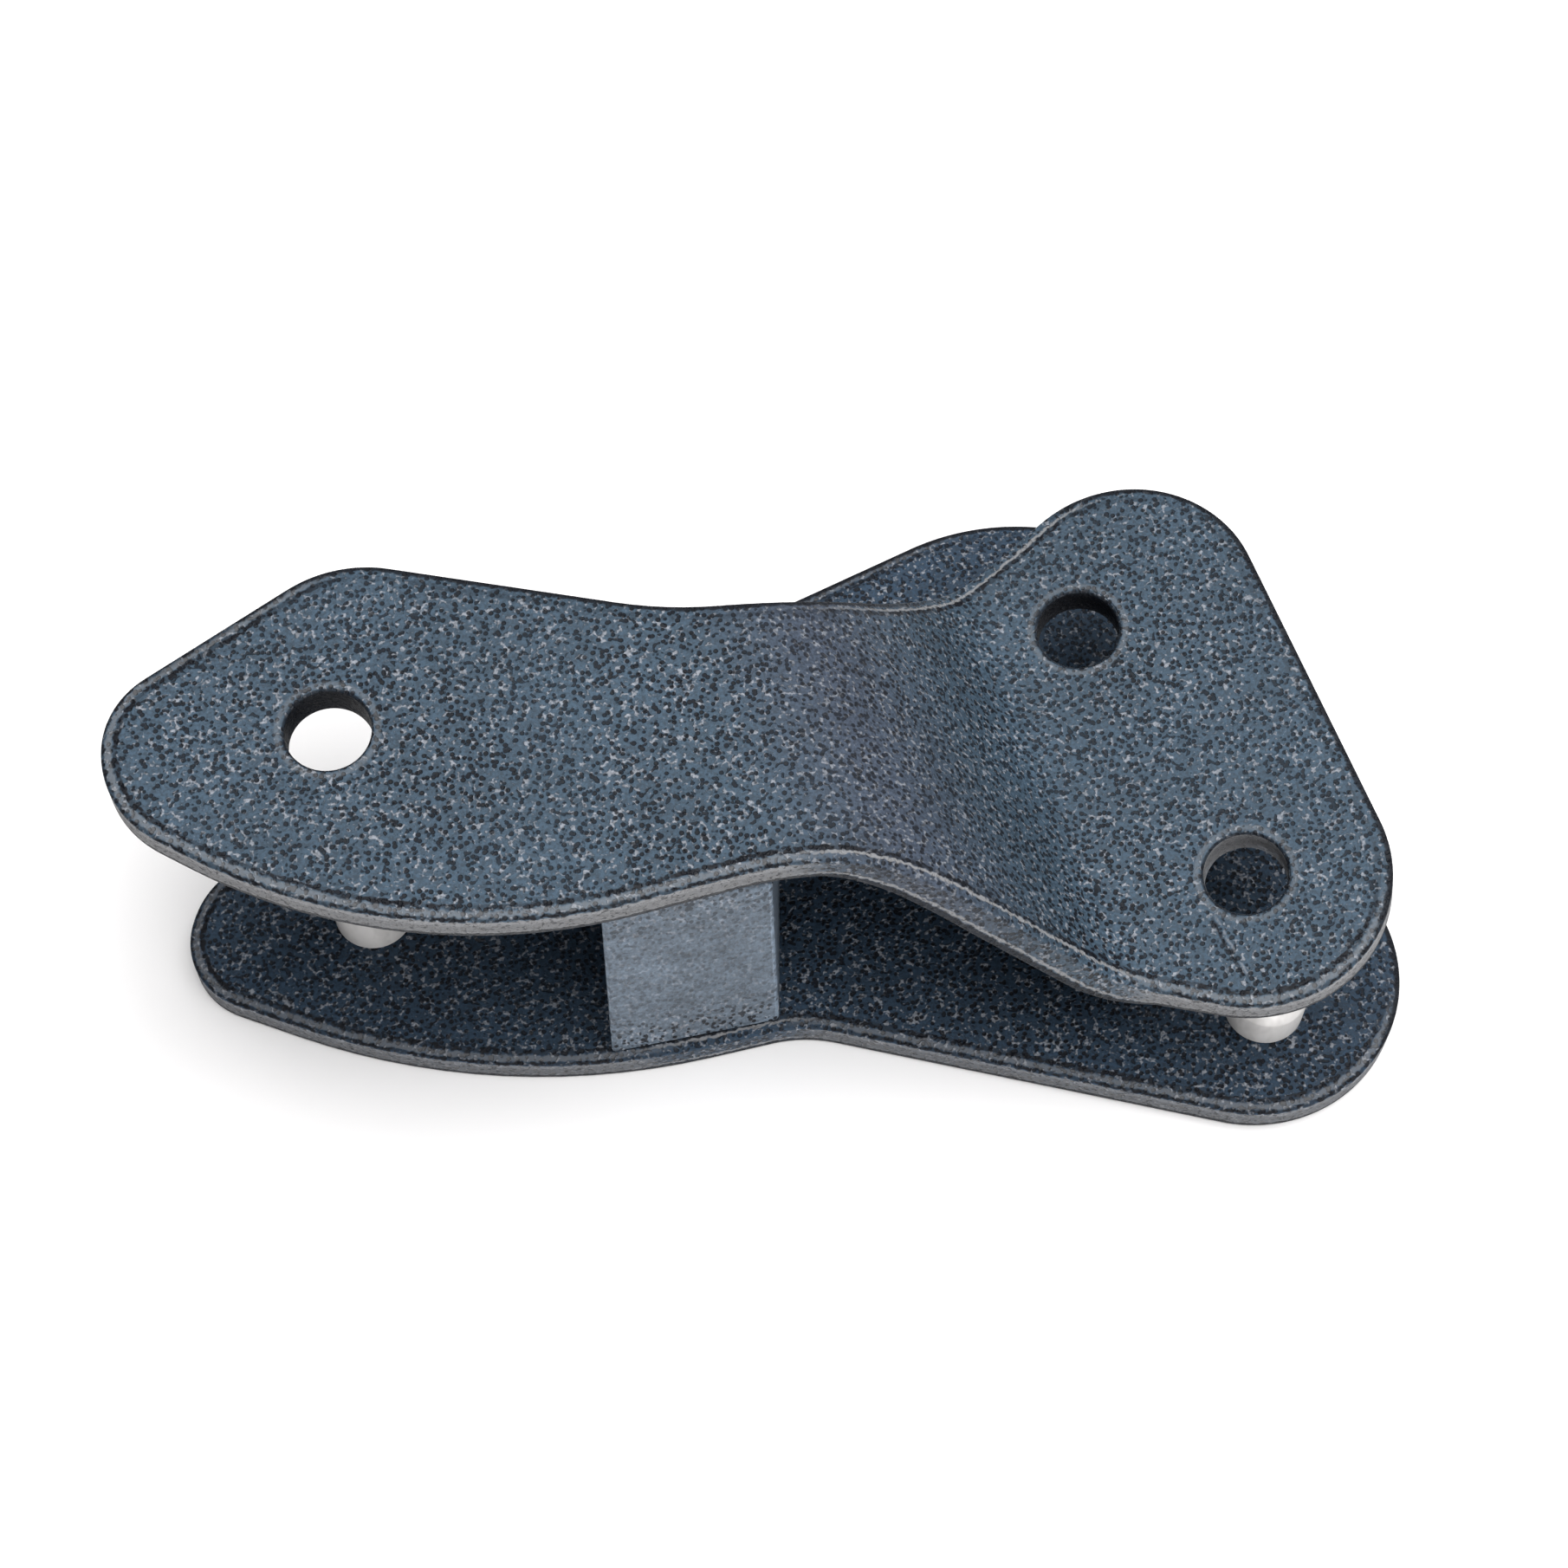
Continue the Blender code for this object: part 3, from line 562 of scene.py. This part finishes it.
# ---------------------------------------------------------------- materials
class Look:
    """A material's node tree, written from plain values and sockets."""

    def __init__(self, name):
        self.material = bpy.data.materials.new(name)
        self.material.use_nodes = True
        self.tree = self.material.node_tree
        self.shader = self.tree.nodes["Principled BSDF"]
        self.place = self.node("ShaderNodeTexCoord").outputs["Object"]

    def node(self, kind, **settings):
        node = self.tree.nodes.new(kind)
        for key, value in settings.items():
            setattr(node, key, value)
        return node

    def feed(self, socket, value):
        """Link a socket to another one, or give it a plain value."""
        if isinstance(value, bpy.types.NodeSocket):
            self.tree.links.new(value, socket)
        else:
            socket.default_value = value

    def set(self, **values):
        """Feed the shader's sockets, whose names have underscores for spaces here."""
        for key, value in values.items():
            self.feed(self.shader.inputs[key.replace("_", " ")], value)

    def math(self, operation, first, second=0.0):
        node = self.node("ShaderNodeMath", operation=operation)
        self.feed(node.inputs[0], first)
        self.feed(node.inputs[1], second)
        return node.outputs[0]

    def times(self, first, second):
        return self.math("MULTIPLY", first, second)

    def stretched(self, scale):
        """Object coordinates scaled differently along each axis."""
        node = self.node("ShaderNodeMapping")
        self.feed(node.inputs["Vector"], self.place)
        self.feed(node.inputs["Scale"], scale)
        return node.outputs[0]

    def noise(self, scale, detail=2.0, rough=0.5, place=None):
        node = self.node("ShaderNodeTexNoise")
        self.feed(node.inputs["Vector"], place or self.place)
        self.feed(node.inputs["Scale"], scale)
        self.feed(node.inputs["Detail"], detail)
        self.feed(node.inputs["Roughness"], rough)
        return node.outputs["Fac"]

    def span(self, value, low, high, to_low=0.0, to_high=1.0):
        """Map a value's range smoothly to another, clamped."""
        node = self.node("ShaderNodeMapRange", interpolation_type="SMOOTHSTEP")
        for socket, number in zip(node.inputs, (value, low, high, to_low, to_high)):
            self.feed(socket, number)
        return node.outputs[0]

    def spread(self, noise, to_low, to_high):
        """Map the range in which most of a noise lies to another."""
        return self.span(noise, 0.3, 0.7, to_low, to_high)

    def ease(self, share, to_low, to_high=1.0):
        """Go from one value to the other as a share goes from 0 to 1."""
        return self.span(share, 0.0, 1.0, to_low, to_high)

    def window(self, value, low, high, blur):
        """1 between low and high, falling to 0 over the blur on each side."""
        up = self.span(value, low - blur, low + blur)
        down = self.span(value, high - blur, high + blur, 1.0, 0.0)
        return self.times(up, down)

    def zone(self, distance, *limits):
        """Window over a distance in metres, with its limits and blur in millimetres."""
        return self.window(distance, *(limit * MM for limit in limits))

    def mix(self, factor, first, second):
        """Mix two colours, each a socket or a plain colour."""
        node = self.node("ShaderNodeMix", data_type="RGBA")
        self.feed(node.inputs[0], factor)
        self.feed(node.inputs[6], (*first, 1.0) if isinstance(first, tuple) else first)
        self.feed(node.inputs[7], (*second, 1.0) if isinstance(second, tuple) else second)
        return node.outputs[2]

    def dim(self, colour, factor):
        """A colour times a number."""
        node = self.node("ShaderNodeVectorMath", operation="SCALE")
        self.feed(node.inputs[0], colour)
        self.feed(node.inputs["Scale"], factor)
        return node.outputs[0]

    def axis(self, letter):
        split = self.node("ShaderNodeSeparateXYZ")
        self.feed(split.inputs[0], self.place)
        return split.outputs[letter]

    def along(self, direction):
        """Distance in metres along a direction."""
        node = self.node("ShaderNodeVectorMath", operation="DOT_PRODUCT")
        self.feed(node.inputs[0], self.place)
        self.feed(node.inputs[1], direction)
        return node.outputs["Value"]

    def facing(self, letter):
        """How far the surface faces along an axis of the object; read before 'place' is changed."""
        split = self.node("ShaderNodeSeparateXYZ")
        self.feed(split.inputs[0], self.place.node.outputs["Normal"])
        return split.outputs[letter]

    def attribute(self, name):
        return self.node("ShaderNodeAttribute", attribute_name=name).outputs["Fac"]

    def bump(self, height, distance, strength):
        node = self.node("ShaderNodeBump")
        self.feed(node.inputs["Strength"], strength)
        self.feed(node.inputs["Distance"], distance)
        self.feed(node.inputs["Height"], height)
        self.feed(self.shader.inputs["Normal"], node.outputs[0])


COAT = (0.037, 0.061, 0.088)
# painted shade: the lower plate's coat is a darker, bluer copy of the same coat, for the shade under
# the upper plate
LOWER_COAT_SHADED = (0.019, 0.037, 0.062)
COAT_DARK = (0.002, 0.003, 0.006)
COAT_LIGHT = (0.25, 0.262, 0.29)
# purplish colour of the painted sheen where the bend starts
SHEEN_PURPLE = (0.058, 0.066, 0.096)
# pale colour of rim wear and of painted highlights and painted light on rims and holes
PALE_WEAR_AND_HIGHLIGHT = (0.235, 0.235, 0.24)
COAT_SHINE = 0.22
COAT_ROUGH = (0.55, 0.72)
COAT_BUMP = (0.00016, 0.8)  # distance in metres, and strength
# painted light: the block's coat is paler than the plates', standing in for the front light on its
# face
BLOCK_COAT_LIT = (0.082, 0.106, 0.136)
BLOCK_ROUGH = (0.5, 0.66)
BLOCK_BUMP = (0.0001, 0.6)

# Pebbled coat: scales in repeats per metre, and ranges over which pits and specks fade.
PIT_DOTS = 1250.0
ROUND_PIT = (0.27, 0.42)
PIT_NOISE = 1700.0
ROUGH_PIT = (0.26, 0.36)
ROUGH_PIT_SHARE = 0.9
PIT_DARKNESS = 0.98
RIDGE_NOISE = 1650.0
RIDGE = (0.54, 0.70)
GRAIN_NOISE = 2600.0
GRAIN_TONES = (0.68, 1.32)
GRAIN_HEIGHT = 0.3
CLOUD_NOISE = 70.0
CLOUD_TONES = (0.92, 1.08)
PIT_SHARE_NOISE = 45.0
PIT_SHARES = (0.85, 1.0)
PLATE_FLECKS = 0.75
BLOCK_FLECKS = 0.68

# Bands round a plate's rim: from, to and blur, as distances out from the flat top (mm).
TOP_SHADE_LINE = (0.5, 1.1, 0.1)
LEDGE_HIGHLIGHT = (1.25, 1.95, 0.15)
REAR_SHADOW = (1.75, 2.75, 0.15)
LEDGE_SHADE_LINE = (2.05, 2.45, 0.1)
PALE_SIDE_WEAR_AND_SHEEN = (2.6, 6.0, 0.12)
POCKED_SIDE = (2.6, 5.8, 0.12)
SIDE_CORE = (3.5, 5.4, 0.4)
BOTTOM_SHADOW_LINE = (5.5, 6.8, 0.08)
WAIST_ARRIS_HIGHLIGHTS = ((1.1, 1.45, 0.1), (4.95, 5.35, 0.1))
RAGGED_NOISE = 1300.0
RAGGED = 0.12  # how far the bands wander (mm)
BROKEN_NOISE = 900.0
BROKEN_LINE = (0.44, 0.56)
POCK_NOISE = 1800.0
POCK = (0.33, 0.42)
FRONT_TURN = (-0.9, -0.2)  # values of 'front' between which the front's lines fade in
REAR_TURN = (-0.5, -0.1)
WAIST_BLUR = 5.0
WAIST_SIDE_SHARE = 0.06
UPPER_WAIST = (3.0, 41.0)  # X positions (mm) between which a side keeps its plain coat
LOWER_WAIST = (-15.0, 3.0)
UPPER_SIDE_SHARE = 0.8  # how pale the side is away from the waist
LOWER_SIDE_SHARE = 0.5

# Zones from, to and blur (mm): a painted sheen and a painted shade along the drop's direction, then
# painted rings past a hole's radius.
SHEEN_ZONE = (-2.0, 12.0, 9.0)
SHADED_ZONE = (-4.0, 22.0, 8.0)
HOLE_RINGS = ((0.5, 1.1, 0.2, PALE_WEAR_AND_HIGHLIGHT, 0.2), (-0.3, 0.3, 0.1, COAT_DARK, 0.8))

SCRATCH_START = (49.4, -24.0)
SCRATCH_END = (52.8, -32.0)
SCRATCH_FADE = 0.8
SCRATCH_WANDER = 0.0002  # in metres, as the coordinates are
SCRATCH_SIDES = ((-0.35, 0.0, COAT_DARK, 0.9), (0.15, 0.4, COAT_LIGHT, 0.4))
SCRATCH_BLUR = 0.1

ARRIS_HIGHLIGHT_TURN = (0.4, 0.9, 0.1)  # how far the block's rounded edges face left or right, where they get a painted highlight
BLOCK_PEBBLES = (1.0, 1.0, 0.6)
BLOCK_STREAKS = (260.0, 260.0, 900.0)
BLOCK_FOOT_FADE = (0.007, 0.016)  # heights in metres between which the pebbles fade
BLOCK_HEAD_FADE = (0.030, 0.043)

NICKEL = (0.63, 0.615, 0.605)
WIRE_STEEL = (0.52, 0.52, 0.53)
STEEL = (0.50, 0.50, 0.51)
BRACKET_STEEL = (0.56, 0.56, 0.57)
BRASS = (0.72, 0.52, 0.25)
METAL_LINE_TONE = 0.72
METAL_BUMP = (0.00002, 0.4)
# painted reflection: broad upright darker streaks on the posts
POST_REFLECTION_STREAKS = (240.0, 240.0, 90.0)
BRACKET_LINES = (90.0, 1900.0, 1900.0)
BRASS_LINES = (1500.0, 120.0, 1500.0)
PAPER_TONES = ((0.88, 0.87, 0.87), (0.90, 0.89, 0.89))


def pebbled(look, base, pit_share, fleck_share):
    """Pebbled powder coat: its colour before wear, its height and its grain.

    pit_share thins the dark pits out, and fleck_share is how pale the raised specks are.
    """
    dots = look.node("ShaderNodeTexVoronoi", feature="F1")
    look.feed(dots.inputs["Vector"], look.place)
    look.feed(dots.inputs["Scale"], PIT_DOTS)
    round_pits = look.span(dots.outputs["Distance"], *ROUND_PIT, 1.0, 0.0)
    rough_pits = look.span(look.noise(PIT_NOISE, 0.0), *ROUGH_PIT, ROUGH_PIT_SHARE, 0.0)
    pits = look.times(look.math("MAXIMUM", round_pits, rough_pits), pit_share)
    ridges = look.times(look.span(look.noise(RIDGE_NOISE, 1.0), *RIDGE), pit_share)
    grain = look.noise(GRAIN_NOISE, 2.0, 0.6)
    colour = look.mix(look.times(ridges, fleck_share), base, COAT_LIGHT)
    colour = look.mix(look.times(pits, PIT_DARKNESS), colour, COAT_DARK)
    colour = look.dim(colour, look.spread(look.noise(CLOUD_NOISE), *CLOUD_TONES))
    colour = look.dim(colour, look.spread(grain, *GRAIN_TONES))
    height = look.math("ADD", look.times(grain, GRAIN_HEIGHT), ridges)
    return colour, look.math("SUBTRACT", height, pits), grain


def rim_wear_and_painted_light(look, colour, waist, side_share):
    """Lines and paler bands round a plate's rim, partly wear and mostly painted light and shade, by
    the 'rim' distance in millimetres.

    The pale side is partly wear and partly a painted sheen; the pale chamfer and arrises are painted
    highlights; the dark lines along the chamfer, the rear shadow and the bottom line are painted
    shade; the walls of holes get painted shade or painted light. Between the two waist positions
    along X the side keeps its plain coat between arrises with a painted highlight.
    """
    rim = look.attribute("rim")
    ragged = look.math("ADD", rim, look.spread(look.noise(RAGGED_NOISE, 1.0), -RAGGED, RAGGED))
    broken = look.span(look.noise(BROKEN_NOISE, 1.0), *BROKEN_LINE, 1.0, 0.45)
    front = look.span(look.attribute("front"), *FRONT_TURN)
    plain = look.zone(look.axis("X"), *waist, WAIST_BLUR)
    lined = look.math("SUBTRACT", 1.0, plain)

    def band(limits, *shares):
        share = look.window(ragged, *limits)
        for factor in shares:
            share = look.times(share, factor)
        return share

    # wear and painted sheen: the side is paler, less so at the waist
    pale = band(PALE_SIDE_WEAR_AND_SHEEN, look.ease(plain, side_share, WAIST_SIDE_SHARE))
    colour = look.mix(pale, colour, PALE_WEAR_AND_HIGHLIGHT)
    colour = look.dim(colour, look.ease(band(SIDE_CORE, lined), 1.0, 0.72))
    # painted highlights: a pale chamfer and, at the waist, pale arrises, on rims facing the front
    colour = look.mix(band(LEDGE_HIGHLIGHT, front, lined, 0.32), colour, PALE_WEAR_AND_HIGHLIGHT)
    for limits in WAIST_ARRIS_HIGHLIGHTS:
        colour = look.mix(band(limits, front, plain, 0.75), colour, PALE_WEAR_AND_HIGHLIGHT)
    pocks = look.span(look.noise(POCK_NOISE, 1.0), *POCK, 0.6, 0.0)
    colour = look.mix(band(POCKED_SIDE, pocks), colour, COAT_DARK)
    # painted shade: broken dark lines along the chamfer's inner and outer edges
    colour = look.mix(band(TOP_SHADE_LINE, broken, look.ease(front, 0.35)), colour, COAT_DARK)
    colour = look.mix(band(LEDGE_SHADE_LINE, broken, lined), colour, COAT_DARK)
    rear = look.span(look.attribute("front"), *REAR_TURN, 0.9, 0.0)
    colour = look.mix(band(REAR_SHADOW, rear), colour, COAT_DARK)
    # painted shadow: a dark line along the bottom edge
    colour = look.mix(band(BOTTOM_SHADOW_LINE, 0.85), colour, COAT_DARK)

    # The wall of a hole has a negative rim: 0 to -1 painted shade, -1 to -2 painted light.
    bore = look.times(rim, -1.0)
    dark = look.times(look.math("MAXIMUM", bore, 0.0), look.math("LESS_THAN", bore, 1.0))
    colour = look.mix(dark, colour, COAT_DARK)
    pale = look.math("MAXIMUM", look.math("SUBTRACT", bore, 1.0), 0.0)
    return look.mix(pale, colour, PALE_WEAR_AND_HIGHLIGHT)


def painted_hole_rings(look, colour):
    """Painted shade as a dark line on the lip of each hole, and a painted highlight as a paler ring
    outside it.
    """
    for x, y in HOLES.values():
        away = look.node("ShaderNodeVectorMath", operation="DISTANCE")
        flat = look.node("ShaderNodeVectorMath", operation="MULTIPLY")
        look.feed(flat.inputs[0], look.place)
        look.feed(flat.inputs[1], (1.0, 1.0, 0.0))
        look.feed(away.inputs[0], flat.outputs[0])
        look.feed(away.inputs[1], (x * MM, y * MM, 0.0))
        for low, high, blur, tone, share in HOLE_RINGS:
            ring = look.zone(away.outputs["Value"], HOLE_R + low, HOLE_R + high, blur)
            colour = look.mix(look.times(ring, share), colour, tone)
    return colour


def scratch(look, colour, start, end):
    """A faint scratch between two plan points, with a pale and a dark edge."""
    start = Vector(start)
    run = Vector(end) - start
    forward = run / run.length
    sideways = Vector((-forward.y, forward.x))
    along = look.along((*forward, 0.0))
    across = look.along((*sideways, 0.0))
    first = start.dot(forward)
    middle = start.dot(sideways)
    length = look.zone(along, first, first + run.length, SCRATCH_FADE)
    length = look.times(length, look.span(look.noise(1100.0, 1.0), 0.42, 0.55))
    wander = look.spread(look.noise(300.0), -SCRATCH_WANDER, SCRATCH_WANDER)
    across = look.math("ADD", across, wander)
    for low, high, tone, share in SCRATCH_SIDES:
        line = look.zone(across, middle + low, middle + high, SCRATCH_BLUR)
        line = look.times(line, length)
        colour = look.mix(look.times(line, share), colour, tone)
    return colour


def coat_look(name, base, waist, side_share, bent=False):
    """Pebbled coat with rim wear and painted light and shade round its rim; the bent plate's also
    has its painted sheen and painted shade zones, painted hole rings and a scratch.
    """
    look = Look(name)
    pit_share = look.spread(look.noise(PIT_SHARE_NOISE, 1.0), *PIT_SHARES)
    if bent:
        turn = radians(BEND_ANGLE)
        distance = look.along((cos(turn), sin(turn), 0.0))
        # painted sheen: a purplish zone with thinner pits where the bend starts
        zone = look.zone(distance, *SHEEN_ZONE)
        pit_share = look.times(pit_share, look.ease(zone, 1.0, 0.9))
        base = look.mix(look.times(zone, 0.6), base, SHEEN_PURPLE)
    colour, height, grain = pebbled(look, base, pit_share, PLATE_FLECKS)
    if bent:
        slope = look.zone(distance, *SHADED_ZONE)
        colour = look.dim(colour, look.ease(slope, 1.0, 0.82))
        colour = painted_hole_rings(look, colour)
        colour = scratch(look, colour, SCRATCH_START, SCRATCH_END)
    colour = rim_wear_and_painted_light(look, colour, waist, side_share)
    look.set(Base_Color=colour, Roughness=look.spread(grain, *COAT_ROUGH))
    look.set(Specular_IOR_Level=COAT_SHINE)
    look.bump(height, *COAT_BUMP)
    return look.material


def block_look(name):
    """Smoother coat on the block, paler than the plates' as painted front light, with a painted
    highlight on its rounded left and right edges, pebbled again towards its foot and head.
    """
    look = Look(name)
    up = look.axis("Z")
    arris_highlight = look.window(look.math("ABSOLUTE", look.facing("X")), *ARRIS_HIGHLIGHT_TURN)
    look.place = look.stretched(BLOCK_PEBBLES)
    foot = look.span(up, *BLOCK_FOOT_FADE, 1.0, 0.35)
    head = look.span(up, *BLOCK_HEAD_FADE, 0.0, 0.35)
    colour, height, grain = pebbled(look, BLOCK_COAT_LIT, look.math("ADD", foot, head), BLOCK_FLECKS)
    streaks = look.noise(1.0, 3.0, 0.6, look.stretched(BLOCK_STREAKS))
    colour = look.dim(colour, look.spread(streaks, 0.8, 1.2))
    # painted highlight: rounded edges that face left or right are made half again as light
    colour = look.dim(colour, look.ease(arris_highlight, 1.0, 1.5))
    look.set(Base_Color=colour, Roughness=look.spread(grain, *BLOCK_ROUGH))
    look.set(Specular_IOR_Level=COAT_SHINE)
    look.bump(height, *BLOCK_BUMP)
    return look.material


def metal_look(name, colour, rough, scale=1.0, stretch=(1.0, 1.0, 1.0), lined=0.5, metal=1.0):
    """Metal with fine drawn lines and blotches of polish; on the posts the lines are broad upright
    streaks, a painted reflection.
    """
    look = Look(name)
    lines = look.noise(scale, 3.0, 0.65, look.stretched(stretch))
    blotch = look.noise(260.0)
    dark = tuple(METAL_LINE_TONE * channel for channel in colour)
    tone = look.times(look.span(lines, 0.35, 0.65), lined)
    look.set(Base_Color=look.mix(tone, colour, dark), Metallic=metal)
    worn = look.spread(blotch, -0.04, 0.06)
    finish = look.math("ADD", look.spread(lines, rough * 0.8, rough * 1.25), worn)
    look.set(Roughness=finish)
    look.bump(lines, *METAL_BUMP)
    return look.material


def floor_look():
    look = Look("floor_paper")
    tone = look.spread(look.noise(6.0), 0.0, 1.0)
    look.set(Base_Color=look.mix(tone, *PAPER_TONES), Roughness=0.9)
    return look.material


# ---------------------------------------------------------------- set
CAMERA_LENS = 81.55  # millimetres, as the sensor's width
CAMERA_SENSOR = 36.0
CAMERA_NEAR = 0.01
CAMERA_AT = (0.00054, -0.17749, 0.40122)
CAMERA_TILT = 24.5  # degrees up from looking straight down
WHITE = (1.0, 1.0, 1.0, 1.0)
WORLD_STRENGTH = 0.09
FLOOR_HALF = 2.5
FLOOR_SQUARES = 8
# place, target, width and height in metres, then power in watts
SOFTBOXES = {
    "overhead": ((0.2, 0.05, 1.1), (0.0, 0.0, 0.0), 1.2, 1.2, 26.5),
    "below": ((0.0, -0.3, -0.9), (0.0, 0.0, 0.0), 1.0, 1.0, 14.0),
    "front": ((0.35, -1.05, 0.15), (0.0, 0.0, 0.02), 1.2, 0.2, 8.0),
}


def make_camera():
    data = bpy.data.cameras.new("camera")
    data.lens = CAMERA_LENS
    data.sensor_width = CAMERA_SENSOR
    data.clip_start = CAMERA_NEAR
    camera = bpy.data.objects.new("camera", data)
    camera.location = CAMERA_AT
    camera.rotation_euler = (radians(CAMERA_TILT), 0.0, 0.0)
    bpy.context.scene.collection.objects.link(camera)
    bpy.context.scene.camera = camera


def softbox(name, at, target, width, height, power):
    data = bpy.data.lights.new(name, "AREA")
    data.shape = "RECTANGLE"
    data.size = width
    data.size_y = height
    data.energy = power
    light = bpy.data.objects.new(name, data)
    light.location = at
    light.rotation_euler = (Vector(target) - Vector(at)).to_track_quat("-Z", "Y").to_euler()
    bpy.context.scene.collection.objects.link(light)


def make_set():
    scene = bpy.context.scene
    scene.view_settings.view_transform = "Standard"
    world = bpy.data.worlds.new("studio")
    world.use_nodes = True
    background = world.node_tree.nodes["Background"]
    background.inputs["Color"].default_value = WHITE
    background.inputs["Strength"].default_value = WORLD_STRENGTH
    scene.world = world
    for name, settings in SOFTBOXES.items():
        softbox(name, *settings)
    shape = bmesh.new()
    bmesh.ops.create_grid(shape, x_segments=FLOOR_SQUARES, y_segments=FLOOR_SQUARES, size=FLOOR_HALF)
    floor = mesh_object("floor", shape)
    floor.data.materials.append(floor_look())


# ---------------------------------------------------------------- the object
def dress(item, material, body, slot, *nodes):
    """Give a piece its material, hang it on the body it rides on, and hide the CAD parts that it
    stands for.
    """
    item.data.materials.clear()
    item.data.materials.append(material)
    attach(item, body)
    if nodes:
        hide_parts(*nodes)


def repaint(names, material):
    """Give a material to CAD pieces that are kept as they are."""
    for name in names:
        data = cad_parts[name].data
        data.materials.clear()
        data.materials.append(material)


def main():
    make_camera()
    make_set()
    upper_coat = coat_look("upper_coat", COAT, UPPER_WAIST, UPPER_SIDE_SHARE, bent=True)
    # painted shade: the lower plate gets the darker copy of the coat
    shaded_lower_coat = coat_look("shaded_lower_coat", LOWER_COAT_SHADED, LOWER_WAIST, LOWER_SIDE_SHARE)
    dress(make_upper_plate(), upper_coat, "clapper", "clapper_coat", "upper_clapper")
    dress(make_lower_plate(), shaded_lower_coat, "base", "clapper_coat", "lower_clapper")
    dress(make_block(), block_look("block_coat"), "base", "block_coat", "spine_block")

    # painted reflection: the posts' nickel carries broad upright darker streaks
    nickel = metal_look("post_nickel", NICKEL, 0.48, stretch=POST_REFLECTION_STREAKS, lined=1.0, metal=0.3)
    for name, (x, y, tip) in POSTS.items():
        post = make_post(name, x, y, tip)
        dress(post, nickel, "base", "post_nickel", "striker_post_" + name)

    wire = metal_look("spring_steel", WIRE_STEEL, 0.28, scale=700.0)
    for name, side in (("left", -1), ("right", 1)):
        spring = make_spring("coil_" + name, side)
        dress(spring, wire, "base", "spring_steel", "return_spring_" + name)
        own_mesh(spring)

    steel = metal_look("fastener_steel", STEEL, 0.32, scale=900.0)
    brushed = metal_look("bracket_steel", BRACKET_STEEL, 0.34, stretch=BRACKET_LINES, lined=0.6)
    brass = metal_look("bush_brass", BRASS, 0.3, stretch=BRASS_LINES)
    ends = ("front", "rear")
    screws = ["post_screw_" + name for name in POSTS]
    screws += ["block_screw_" + end for end in ends] + ["bracket_screw_" + end for end in ends]
    repaint(screws + ["pin_set_screw", "pivot_pin"], steel)
    repaint(["hinge_bracket"], brushed)
    repaint(["block_insert_" + end for end in ends] + ["pivot_bush_" + end for end in ends], brass)


main()
